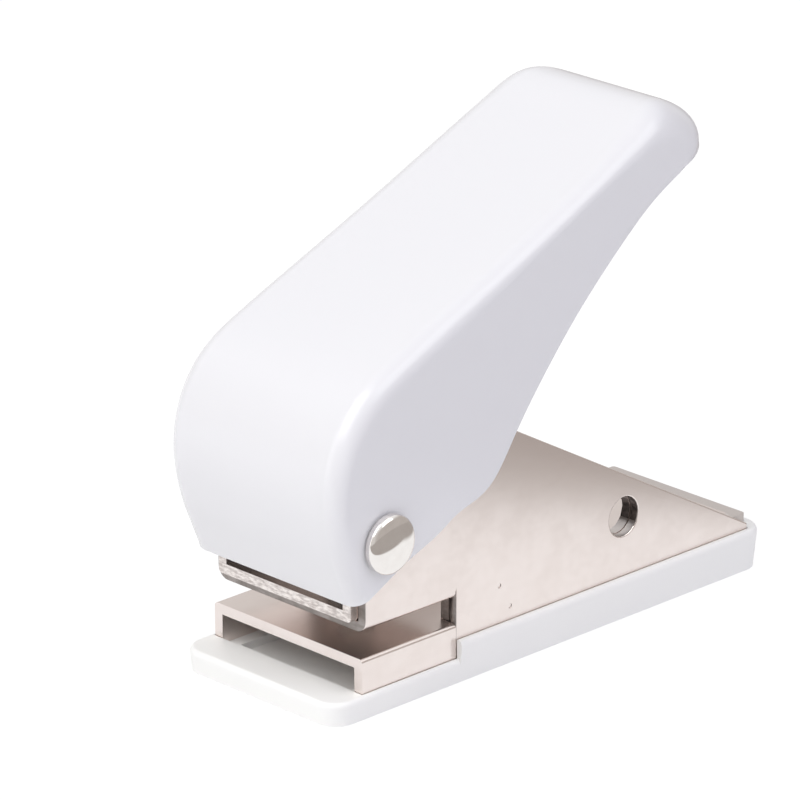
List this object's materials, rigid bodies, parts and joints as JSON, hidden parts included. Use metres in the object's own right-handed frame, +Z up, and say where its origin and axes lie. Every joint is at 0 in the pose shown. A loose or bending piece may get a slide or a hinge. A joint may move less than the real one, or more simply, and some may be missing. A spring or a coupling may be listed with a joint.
{
  "type": "dart flight punch",
  "caption": "Hand-squeezed dart flight punch with a humped sheet handle, a nickel frame with a front throat, and a plastic chad tray.",
  "frame": {"origin": "centre of the tray's underside", "axes": "+Z up from the surface it stands on, +Y from the throat to the tail, +X to the right seen from the throat"},
  "size_m": [0.0324, 0.0739, 0.063],
  "materials": {
    "handle_paint": "gloss white powder coat on sheet steel",
    "tray_plastic": "satin white plastic",
    "nickel": "nickel plate on rolled sheet steel, slightly cloudy",
    "rivet_polish": "polished nickel",
    "tool_steel": "ground steel"
  },
  "bodies": {
    "tray": {"base_tray": "tray_plastic"},
    "frame": {"lower_frame": "nickel", "upper_frame": "nickel", "guide_channel": "nickel", "guide_bridge": "nickel", "pivot_rivet": "rivet_polish", "pivot_sleeve": "tool_steel", "pivot_washer_near": "tool_steel", "pivot_washer_far": "tool_steel", "spring_washer": "tool_steel", "return_spring": "tool_steel"},
    "handle": {"handle_shell": "handle_paint", "presser_bracket": "nickel"},
    "punch": {"punch_pin": "tool_steel", "retaining_clip": "tool_steel"}
  },
  "joints": [
    {"name": "tray_release", "type": "slide", "parent": "tray", "child": "frame", "axis": [0, 0, 1], "range_m": [0, 0.015]},
    {"name": "handle_press", "type": "hinge", "parent": "frame", "child": "handle", "pos_m": [0, -0.02926, 0.0217], "axis": [-1, 0, 0], "range_deg": [0, 25], "stiffness_Nm_per_rad": 0.08, "springref_deg": -22.92},
    {"name": "punch_travel", "type": "slide", "parent": "frame", "child": "punch", "axis": [0, 0, -1], "range_m": [0, 0.00433], "deforming": ["return_spring"]}
  ],
  "couplings": [
    {"joint": "punch_travel", "follows": "handle_press", "m_per_rad": 0.009895}
  ]
}
